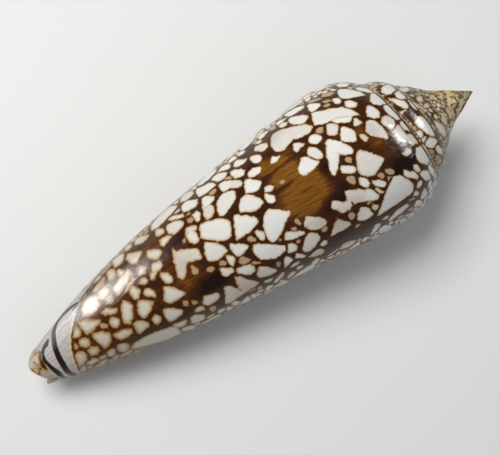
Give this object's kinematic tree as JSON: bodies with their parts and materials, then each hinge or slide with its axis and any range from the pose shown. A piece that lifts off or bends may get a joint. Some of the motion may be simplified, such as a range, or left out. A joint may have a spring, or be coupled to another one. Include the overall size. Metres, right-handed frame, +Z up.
{
  "type": "cone seashell",
  "caption": "Slender high-spired cone seashell with a net of brown lines round white tents, lying on its aperture.",
  "frame": {"origin": "on the surface that the shell lies on, under the middle of its bounding box", "axes": "+X towards the apex, along the shell's length; +Z up, away from the surface that the shell lies on; the outer lip is on the +Y side"},
  "size_m": [0.1096, 0.0338, 0.0314],
  "materials": {
    "shell": "glossy porcelain-like shell, cream-white tents in a chocolate and golden brown net, matte worn beige apex, cream inside the aperture"
  },
  "bodies": {
    "root": {"shell": "shell"}
  },
  "joints": []
}
